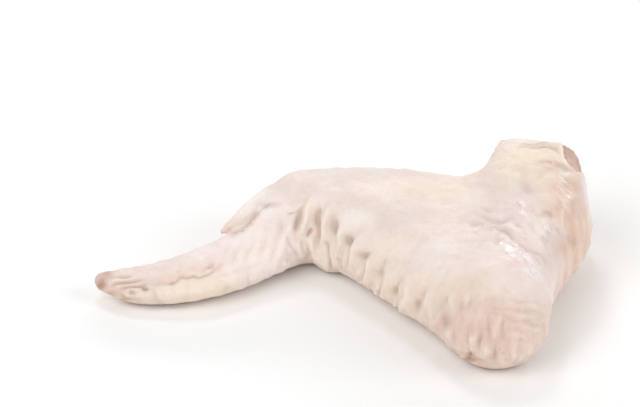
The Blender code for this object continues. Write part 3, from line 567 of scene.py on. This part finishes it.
# Patches on the side the camera sees: middle, half width and half height in pixels, strength
patches = {
    # painted light: lightens places the lamps leave in shade and adds highlights
    "light": [((589, 204), (3.4, 24), 0.9), ((552, 290), (4, 14), 0.8), ((306, 250), (20, 11), 1.0),
              ((250, 208), (24, 14), 1.0), ((262, 240), (26, 16), 0.6), ((335, 258), (14, 6), 0.4),
              ((546, 284), (11, 20), 0.6), ((541, 230), (8, 14), 0.8), ((586.5, 192), (3.6, 20), 0.6),
              ((470, 198), (26, 9), 0.5), ((268, 262), (38, 16), 1.0), ((260, 196), (18, 10), 0.8),
              ((356, 222), (18, 14), 0.9), ((398, 244), (22, 12), 0.5), ((308, 210), (12, 8), 0.5),
              ((300, 256), (16, 5), 0.7)],
    # painted shade: a greyer, darker tone where the surface should look shaded
    "paintedShade": [((400, 212), (46, 18), 0.45), ((150, 304), (16, 2.5), 0.8), ((458, 240), (50, 13), 0.35),
             ((375, 172), (70, 9), 0.7), ((520, 194), (13, 13), 0.6), ((556, 268), (5, 16), 0.4),
             ((564, 171), (10, 5), 0.5), ((470, 248), (20, 10), 0.4), ((125, 268), (26, 4), 0.6),
             ((150, 284), (12, 8), 0.5), ((505, 180), (20, 16), 0.2), ((360, 170), (60, 4), 0.5)],
    "wet": [((516, 254), (13, 8), 1.0), ((494, 226), (12, 6), 0.5), ((504, 246), (10, 7), 0.5),
            ((530, 267), (11, 11), 1.0), ((524, 207), (5, 9), 0.8), ((475, 229), (11, 8), 0.4),
            ((566, 190), (12, 26), 0.62), ((135, 276), (26, 6), 0.28), ((546, 234), (7, 10), 0.6),
            ((552, 166), (12, 5), 0.5)],
    "cream": [((240, 226), (8, 5), 0.6), ((532, 160), (38, 18), 1.0), ((552, 182), (16, 22), 0.8),
              ((450, 284), (34, 16), 0.8), ((400, 250), (30, 20), 0.45), ((228, 228), (8, 5), 1.0),
              ((225, 283), (50, 8), 0.6), ((545, 195), (9, 14), 0.6)],
    "pink": [((492, 336), (52, 34), 0.95), ((452, 322), (26, 18), 0.9), ((518, 330), (30, 22), 0.5),
             ((480, 308), (52, 16), 0.9), ((150, 283), (12, 6), 0.4), ((126, 293), (18, 4), 0.5),
             ((146, 288), (4.6, 2.8), 1.0), ((214, 269.5), (6, 3), 0.5), ((125, 286), (20, 7), 0.5),
             ((546, 262), (8, 14), 0.3)],
    "peach": [((573, 184), (11, 17), 1.0), ((103, 276), (8, 5), 0.6), ((577, 218), (17, 44), 1.0),
              ((571, 248), (17, 18), 1.0), ((564, 192), (16, 18), 0.9), ((559, 212), (17, 11), 1.0),
              ((566, 224), (12, 16), 1.0), ((558, 168), (16, 6), 1.0)],
    # painted light: near white, lifts undersides and edges the lamps leave in shade
    "paintedLightWhite": [((286, 250), (13, 17), 1.0), ((252, 272), (34, 12), 0.9), ((240, 240), (32, 12), 0.7),
             ((263, 205), (20, 14), 1.0), ((350, 224), (14, 10), 0.5), ((425, 254), (28, 12), 0.4),
             ((205, 255), (24, 8), 0.5), ((531, 270), (11, 14), 0.7), ((586, 190), (4, 16), 0.5),
             ((455, 272), (24, 10), 0.4)],
    "rosy": [((124, 269), (28, 4), 0.6), ((213, 267), (9, 5), 0.9), ((160, 279), (34, 5), 0.45),
             ((197, 271), (10, 4), 0.6), ((183, 276), (9, 4), 0.5), ((106, 273), (7, 5), 0.6),
             ((120, 291), (20, 5), 0.5), ((146, 287), (6, 4), 0.6), ((268, 244), (10, 14), 0.3),
             ((470, 330), (26, 12), 0.35), ((504, 345), (20, 10), 0.35)],
    # brown: the tip's and spots' own brown; the thin lines along the cut's top edge at (540, 139.5) and
    # under the elbow at (468, 354) are painted shade
    "brown": [((133.6, 293.3), (4.5, 2), 0.7), ((147, 288.5), (2.4, 2), 0.6),
              ((226, 229.5), (3, 2.5), 0.35), ((109, 292.5), (8, 2.4), 0.8),
              ((128, 300.5), (20, 2.4), 0.7), ((468, 354), (3, 3.6), 0.8), ((98, 285.5), (5, 4.5), 1.0),
              ((234, 232.4), (4, 1.8), 0.3), ((540, 139.5), (18, 1.4), 0.45),
              ((569.5, 240), (4.5, 7), 0.35), ((97, 282.5), (4, 5), 0.9), ((111, 294), (7, 3), 0.6),
              ((546, 216), (7, 3.5), 0.4), ((232, 234), (5, 2), 0.4), ((268, 205), (10, 3), 0.3)],
    # lilac: the skin's own lilac tint; the patches along the hand's grooves, at (270, 240), (288, 232) and
    # (236, 240), are painted shade
    "lilac": [((584.5, 188), (5, 18), 1.0), ((548, 276), (12, 24), 1.0), ((270, 240), (22, 18), 0.5),
              ((205, 256), (30, 7), 0.8), ((244, 210), (18, 14), 0.8), ((557, 240), (5, 10), 0.6),
              ((125, 271), (30, 4), 0.6), ((527, 203), (11, 16), 1.0), ((548, 233), (7, 12), 1.0),
              ((524, 261), (21, 13), 1.0), ((480, 228), (16, 9), 0.35), ((500, 214), (12, 6), 0.4),
              ((155, 300), (3, 5), 0.6), ((299, 219), (5, 10), 0.5), ((370, 292), (10, 3), 0.8),
              ((345, 270), (8, 3), 0.8), ((395, 309), (10, 3), 0.8), ((420, 325), (9, 3), 0.6),
              ((165, 268), (20, 4), 0.5), ((288, 232), (6, 14), 0.4), ((236, 240), (50, 11), 0.7),
              ((500, 240), (30, 16), 0.35)],
}


def toneAt(name, points, normal):
    drift = points + 2.0 * np.stack([waves(points, 12, 90 + k) for k in range(3)], 1)
    total = np.zeros(len(points))
    for place, reach, strength in tones.get(name, []):
        far2 = (((drift - np.array(place)) / np.array(reach)) ** 2).sum(1)
        total = np.maximum(total, strength * np.exp(-far2))
    facing = fade(normal @ viewBack, -0.15, 0.08)
    seen = seenAt(points + 0.5 * (drift - points))
    for place, reach, strength in patches.get(name, []):
        far2 = (((seen - np.array(place)) / np.array(reach)) ** 2).sum(1)
        total = np.maximum(total, strength * facing * np.exp(-far2 ** 1.4))
    return total


def makeSkin():
    mesh = roughSkin()
    count = len(mesh.vertices)
    points = np.empty(count * 3)
    mesh.vertices.foreach_get("co", points)
    points = points.reshape(-1, 3)
    edges = np.empty(len(mesh.edges) * 2, int)
    mesh.edges.foreach_get("vertices", edges)
    edges = edges.reshape(-1, 2)
    print("skin: melted", count, "points")
    for _ in range(2):
        here, slope = wingSlope(points)
        points = drawOn(points, here, slope)
    for _ in range(skin["evening"]):
        points = evenOut(points, edges)
        points = drawOn(points, wingGap(points), slope)
    here, slope = wingSlope(points)
    points = drawOn(points, here, slope)
    normal = unit(slope)
    print("skin: settled")

    goose, _ = dots(points, 2.7, 3)
    speck = np.exp(-(goose / 0.34) ** 2)
    tall = points * (1.0, 0.5, 0.5)
    steep = fade(0.8 - normal[:, 2], 0.0, 1.0)
    drawn, crease, brown, ridge = drawnHeight(points, normal)
    height = 0.24 * waves(points, 11, 1) + 0.18 * waves(points * (1.0, 1.0, 0.6), 4.6, 2)
    height += (0.07 + 0.12 * steep) * waves(tall, 2.6, 5) + 0.03 * waves(points, 1.7, 4)
    height += 0.14 * speck + drawn
    away = fade(-normal @ viewBack, -0.1, 0.4)
    height += away * 0.28 * waves(points * (0.5, 1.0, 0.35), 4.5, 7)
    height += away * 0.12 * waves(points * (1.0, 1.0, 0.5), 2.4, 8)
    above = fade(points[:, 2], 0.3, 3.6)
    cutRise, cutMarks = cutHeight(points)
    onCut = fade((points - cutCentre) @ cutOut, -1.6, -0.4)
    height = height * above * (1 - onCut) + cutRise
    points = points + height[:, None] * normal
    points[:, 2] = np.where(points[:, 2] < 0.12, 0.0, points[:, 2])
    # hollow: how far a point lies under its smoothed surroundings; the material paints shade in hollows and
    # light on rises from it
    broad = height
    for _ in range(12):
        broad = evenOut(broad, edges, 0.9)
    hollow = np.clip((broad - height) / 0.5, -1, 1)

    marks = {name: toneAt(name, points, normal) for name in patches}
    # side holds how steep the skin is; the material paints shade on steep sides from it
    marks.update(pit=brown, crease=crease, ridge=ridge, hollow=hollow, speck=speck, side=steep, **cutMarks)
    for name, values in marks.items():
        layer = mesh.attributes.new(name, "FLOAT", "POINT")
        layer.data.foreach_set("value", values.astype(np.float32))

    print("skin: reaches", points.min(0).round(1), points.max(0).round(1))
    points -= skin["middle"]
    mesh.vertices.foreach_set("co", (points * mm).ravel())
    mesh.update()
    mesh.shade_smooth()
    mesh.name = "wingSkin"
    piece = bpy.data.objects.new("wingSkin", mesh)
    bpy.context.scene.collection.objects.link(piece)
    print("skin: shaped", len(mesh.polygons), "faces")
    return piece


def tint(red, green, blue):       # 8-bit screen colour to the shader's linear one
    c = np.array([red, green, blue]) / 255
    linear = np.where(c < 0.04045, c / 12.92, ((c + 0.055) / 1.055) ** 2.4)
    return (*linear.tolist(), 1.0)


skinLook = {
    "base": tint(240, 224, 215),
    "pale": tint(247, 235, 228),
    # painted shade: low darkens and warms steep sides; it also gives a random darker mottle
    "low": tint(234, 213, 198),
    "pink": tint(219, 189, 173),
    "peach": tint(229, 198, 179),
    "rosy": tint(236, 198, 188),
    # painted light, near white
    "paintedLightWhite": tint(252, 241, 239),
    # painted glints, near white
    "paintedGlint": tint(254, 247, 247),
    "cream": tint(242, 223, 200),
    "lilac": tint(231, 212, 213),
    "brown": tint(176, 128, 104),
    # pits: their own brown with painted shade
    "pit": tint(190, 163, 143),
    # painted shade in grooves and hollows (crease) and painted light on rolls and rises (ridge); both also
    # tint random streaks and mottle
    "crease": tint(208, 185, 171),
    "ridge": tint(249, 236, 224),
    # painted light
    "light": tint(253, 241, 230),
    # painted shade
    "paintedShade": tint(226, 212, 205),
    "fat": tint(251, 238, 216),
    "meat": tint(210, 174, 158),
    "sinew": tint(232, 208, 194),
    "bone": tint(226, 210, 200),
    "marrow": tint(196, 158, 146),
    "roughness": 0.5,
    "subsurface": 0.2,
    "depth": 0.0008,              # metres the light goes in
    "wetCoat": 0.8,               # strength of the wet film where it lies
    "wetRoughness": 0.05,
    "glintDotScale": 700,                 # painted glint dots, to the metre
    "glintDotSize": 0.24,             # their reach in parts of their spacing
}


def skinMaterial():
    material = bpy.data.materials.new("rawSkin")
    material.use_nodes = True
    tree = material.node_tree
    shader = tree.nodes["Principled BSDF"]
    link = tree.links.new
    place = tree.nodes.new("ShaderNodeTexCoord").outputs["Object"]

    def noise(scale, detail=3.0, rough=0.5):
        node = tree.nodes.new("ShaderNodeTexNoise")
        node.inputs["Scale"].default_value = scale
        node.inputs["Detail"].default_value = detail
        node.inputs["Roughness"].default_value = rough
        link(place, node.inputs["Vector"])
        return node.outputs["Fac"]

    def streaks(scale, stretch):
        node = tree.nodes.new("ShaderNodeTexNoise")
        node.inputs["Scale"].default_value = scale
        node.inputs["Detail"].default_value = 3
        squash = tree.nodes.new("ShaderNodeVectorMath")
        squash.operation = "MULTIPLY"
        squash.inputs[1].default_value = (1.0, 0.6, stretch)
        link(place, squash.inputs[0])
        link(squash.outputs[0], node.inputs["Vector"])
        return node.outputs["Fac"]

    def slant(scale, stretch):    # noise drawn out along the web's slanting creases
        turn = tree.nodes.new("ShaderNodeVectorRotate")
        turn.rotation_type = "Z_AXIS"
        turn.inputs["Angle"].default_value = math.radians(50)
        squash = tree.nodes.new("ShaderNodeVectorMath")
        squash.operation = "MULTIPLY"
        squash.inputs[1].default_value = (stretch, 1.0, 0.7)
        node = tree.nodes.new("ShaderNodeTexNoise")
        node.inputs["Scale"].default_value = scale
        node.inputs["Detail"].default_value = 3
        link(place, turn.inputs["Vector"])
        link(turn.outputs[0], squash.inputs[0])
        link(squash.outputs[0], node.inputs["Vector"])
        return node.outputs["Fac"]

    def mark(name):
        node = tree.nodes.new("ShaderNodeAttribute")
        node.attribute_name = name
        return node.outputs["Fac"]

    def ramp(value, low, high, start=0.0, end=1.0):
        node = tree.nodes.new("ShaderNodeMapRange")
        node.interpolation_type = "SMOOTHSTEP"
        for name, number in (("From Min", low), ("From Max", high), ("To Min", start), ("To Max", end)):
            node.inputs[name].default_value = number
        link(value, node.inputs["Value"])
        return node.outputs["Result"]

    def times(a, b, operation="MULTIPLY"):
        node = tree.nodes.new("ShaderNodeMath")
        node.operation = operation
        for k, value in enumerate((a, b)):
            if isinstance(value, (int, float)):
                node.inputs[k].default_value = value
            else:
                link(value, node.inputs[k])
        return node.outputs[0]

    def blend(under, colour, share):
        node = tree.nodes.new("ShaderNodeMix")
        node.data_type = "RGBA"
        link(share, node.inputs["Factor"])
        if isinstance(under, tuple):
            node.inputs["A"].default_value = under
        else:
            link(under, node.inputs["A"])
        node.inputs["B"].default_value = colour
        return node.outputs["Result"]

    broad, mottle, fine = noise(70, 2), noise(260, 4, 0.6), noise(1100, 3, 0.6)
    side = mark("side")
    colour = blend(skinLook["base"], skinLook["pale"], ramp(broad, 0.4, 0.7, 0.0, 0.7))
    # painted shade: steep sides turned darker and warmer
    colour = blend(colour, skinLook["low"], times(side, 0.7))
    colour = blend(colour, skinLook["pale"], times(mark("speck"), ramp(mottle, 0.3, 0.7, 0.05, 0.35)))
    colour = blend(colour, skinLook["ridge"], ramp(noise(380, 4, 0.6), 0.5, 0.72, 0.0, 0.5))
    colour = blend(colour, skinLook["low"], ramp(noise(240, 4, 0.6), 0.52, 0.75, 0.0, 0.4))
    colour = blend(colour, skinLook["cream"], times(mark("cream"), ramp(mottle, 0.2, 0.8, 0.65, 1.0)))
    tendons = ramp(streaks(420, 0.2), 0.35, 0.65, 0.75, 1.0)
    colour = blend(colour, skinLook["peach"], times(mark("peach"), tendons))
    colour = blend(colour, skinLook["pink"], times(mark("pink"), ramp(mottle, 0.3, 0.7, 0.5, 1.0)))
    colour = blend(colour, skinLook["lilac"], times(mark("lilac"), ramp(mottle, 0.3, 0.7, 0.6, 1.0)))
    colour = blend(colour, skinLook["rosy"], times(mark("rosy"), ramp(mottle, 0.3, 0.65, 0.5, 1.0)))
    # painted light on rises and painted shade in hollows
    colour = blend(colour, skinLook["ridge"], ramp(mark("hollow"), -0.1, -0.9, 0.0, 0.5))
    colour = blend(colour, skinLook["crease"], ramp(mark("hollow"), 0.05, 0.9, 0.0, 0.6))
    # painted shade patches
    colour = blend(colour, skinLook["paintedShade"], mark("paintedShade"))
    # painted light patches
    colour = blend(colour, skinLook["light"], times(mark("light"), 0.85))
    # painted light, near white
    colour = blend(colour, skinLook["paintedLightWhite"], times(mark("paintedLightWhite"), 0.85))
    colour = blend(colour, skinLook["fat"], times(mark("lip"), 0.8))
    # painted light on raised rolls and bumps, less on the pink elbow; painted shade along grooves
    ridgeLightShare = times(times(mark("pink"), -0.3), 0.45, "ADD")
    colour = blend(colour, skinLook["ridge"], times(mark("ridge"), ridgeLightShare))
    colour = blend(colour, skinLook["crease"], times(mark("crease"), 0.75))
    # pits darkened: their own brown and painted shade
    colour = blend(colour, skinLook["pit"], times(mark("pit"), ramp(mottle, 0.2, 0.7, 0.6, 0.9)))
    colour = blend(colour, skinLook["brown"], times(mark("brown"), ramp(mottle, 0.2, 0.8, 0.5, 1.0)))
    colour = blend(colour, skinLook["crease"], ramp(fine, 0.55, 0.8, 0.0, 0.25))
    colour = blend(colour, skinLook["crease"], times(ramp(streaks(420, 0.22), 0.5, 0.72), times(side, 0.4)))
    colour = blend(colour, skinLook["ridge"], times(ramp(streaks(330, 0.22), 0.5, 0.75), times(side, 0.45)))
    # painted shade along fine wrinkles where the skin is wet
    wrinkleShade = ramp(slant(520, 0.35), 0.48, 0.38, 0.0, 0.45)
    colour = blend(colour, skinLook["crease"], times(ramp(mark("wet"), 0.1, 0.5), wrinkleShade))
    # painted glints: white flecks on the wet skin
    paintedGlints = ramp(slant(880, 0.3), 0.565, 0.6)
    colour = blend(colour, skinLook["paintedGlint"], times(ramp(mark("wet"), 0.3, 0.8), times(paintedGlints, 0.95)))
    # painted glints: small white dots on the wet skin
    glintCells = tree.nodes.new("ShaderNodeTexVoronoi")
    glintCells.inputs["Scale"].default_value = skinLook["glintDotScale"]
    link(place, glintCells.inputs["Vector"])
    glintDot = ramp(glintCells.outputs["Distance"], skinLook["glintDotSize"], skinLook["glintDotSize"] / 2)
    glintDot = times(glintDot, ramp(noise(330, 2), 0.4, 0.46))
    colour = blend(colour, skinLook["paintedGlint"], times(ramp(mark("wet"), 0.3, 0.6), times(glintDot, 0.75)))
    meatColour = blend(skinLook["meat"], skinLook["sinew"], ramp(mottle, 0.4, 0.75, 0.0, 0.6))
    meatColour = blend(meatColour, skinLook["sinew"], times(mark("sinew"), 0.8))
    # painted shade where the meat meets the torn skin
    meatColour = blend(meatColour, skinLook["brown"], times(mark("under"), 0.5))
    meatMix = tree.nodes.new("ShaderNodeMix")
    meatMix.data_type = "RGBA"
    link(mark("meat"), meatMix.inputs["Factor"])
    link(colour, meatMix.inputs["A"])
    link(meatColour, meatMix.inputs["B"])
    colour = meatMix.outputs["Result"]
    colour = blend(colour, skinLook["bone"], times(mark("bone"), ramp(mottle, 0.2, 0.7, 0.8, 1.0)))
    colour = blend(colour, skinLook["marrow"], times(mark("marrow"), 0.6))
    link(colour, shader.inputs["Base Color"])

    rough = ramp(noise(500, 3), 0.3, 0.7, skinLook["roughness"] - 0.06, skinLook["roughness"] + 0.1)
    rough = times(rough, times(mark("wet"), -0.2), "ADD")
    link(rough, shader.inputs["Roughness"])
    shader.inputs["Subsurface Weight"].default_value = skinLook["subsurface"]
    shader.inputs["Subsurface Radius"].default_value = (1.0, 0.55, 0.4)
    shader.inputs["Subsurface Scale"].default_value = skinLook["depth"]
    film = times(ramp(mark("wet"), 0.1, 0.7), ramp(noise(800, 4, 0.65), 0.4, 0.52))
    link(ramp(film, 0.0, 1.0, 0.04, skinLook["wetCoat"]), shader.inputs["Coat Weight"])
    shader.inputs["Coat Roughness"].default_value = skinLook["wetRoughness"]
    shader.inputs["Coat IOR"].default_value = 1.38
    ripple = tree.nodes.new("ShaderNodeBump")
    ripple.inputs["Strength"].default_value = 0.5
    ripple.inputs["Distance"].default_value = 0.0006
    link(slant(1000, 0.4), ripple.inputs["Height"])
    link(ripple.outputs["Normal"], shader.inputs["Coat Normal"])
    shader.inputs["IOR"].default_value = 1.38
    shader.inputs["Specular IOR Level"].default_value = 0.35

    pores = tree.nodes.new("ShaderNodeTexVoronoi")
    pores.inputs["Scale"].default_value = 900
    link(place, pores.inputs["Vector"])
    wrinkles = noise(700, 4, 0.65)
    grain = times(times(pores.outputs["Distance"], 0.5), wrinkles, "ADD")
    grain = times(grain, times(noise(2400, 2, 0.5), 0.4), "ADD")
    bump = tree.nodes.new("ShaderNodeBump")
    bump.inputs["Strength"].default_value = 0.5
    bump.inputs["Distance"].default_value = 0.0004
    link(grain, bump.inputs["Height"])
    link(bump.outputs["Normal"], shader.inputs["Normal"])
    return material


wingSkin = makeSkin()
wingSkin.data.materials.append(skinMaterial())
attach(wingSkin, "root")
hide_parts("wing")
print("skin: painted")

studio = {
    "floor": tint(254, 254, 254),
    "floorSize": 6.0,
    "world": 0.415,
    "distance": 3.6,              # camera to wing in metres
    "elevation": 30.0,
    "aim": (-0.00625, 0.00654, 0.027),
    "pictureWidth": 0.17195,      # width of the picture at the wing, in metres
}


def makeFloor():
    mesh = bpy.data.meshes.new("floor")
    half = studio["floorSize"] / 2
    corners = [(-half, -half, 0), (half, -half, 0), (half, half, 0), (-half, half, 0)]
    mesh.from_pydata(corners, [], [(0, 1, 2, 3)])
    floor = bpy.data.objects.new("floor", mesh)
    bpy.context.scene.collection.objects.link(floor)
    floor.location.z = -0.00005
    material = bpy.data.materials.new("paleFloor")
    material.use_nodes = True
    shader = material.node_tree.nodes["Principled BSDF"]
    shader.inputs["Base Color"].default_value = studio["floor"]
    shader.inputs["Roughness"].default_value = 0.9
    mesh.materials.append(material)


def addLight(name, azimuth, elevation, distance, size, power):
    lamp = bpy.data.lights.new(name, "AREA")
    lamp.shape = "RECTANGLE"
    lamp.size, lamp.size_y = size
    lamp.energy = power
    light = bpy.data.objects.new(name, lamp)
    bpy.context.scene.collection.objects.link(light)
    a, e = math.radians(azimuth), math.radians(elevation)
    back = np.array([math.sin(a) * math.cos(e), -math.cos(a) * math.cos(e), math.sin(e)])
    light.location = (back * distance).tolist()
    light.rotation_euler = Vector(back.tolist()).to_track_quat("Z", "Y").to_euler()
    light.visible_camera = False


def makeStudio():
    scene = bpy.context.scene
    world = bpy.data.worlds.new("studio")
    scene.world = world
    world.use_nodes = True
    background = world.node_tree.nodes["Background"]
    background.inputs["Color"].default_value = (1.0, 1.0, 1.0, 1.0)
    background.inputs["Strength"].default_value = studio["world"]
    scene.view_settings.view_transform = "Standard"
    addLight("keyLight", -45, 48, 1.0, (0.7, 0.7), 4.0)
    addLight("fillLight", -8, 9, 1.4, (1.2, 0.8), 2.4)
    addLight("backLight", 195, 58, 1.0, (0.25, 0.25), 1.4)
    addLight("stripLight", 172, 19, 1.0, (1.0, 0.16), 3.4)
    addLight("sideLight", 72, 28, 1.2, (0.8, 0.8), 4.3)
    makeFloor()
    camera = bpy.data.objects.new("camera", bpy.data.cameras.new("camera"))
    scene.collection.objects.link(camera)
    e = math.radians(studio["elevation"])
    back = Vector((0, -math.cos(e), math.sin(e)))
    camera.location = Vector(studio["aim"]) + back * studio["distance"]
    camera.rotation_euler = back.to_track_quat("Z", "Y").to_euler()
    camera.data.sensor_width = 36
    camera.data.lens = 36 * studio["distance"] / studio["pictureWidth"]
    camera.data.clip_end = 20
    scene.camera = camera


makeStudio()
print("studio: ready")
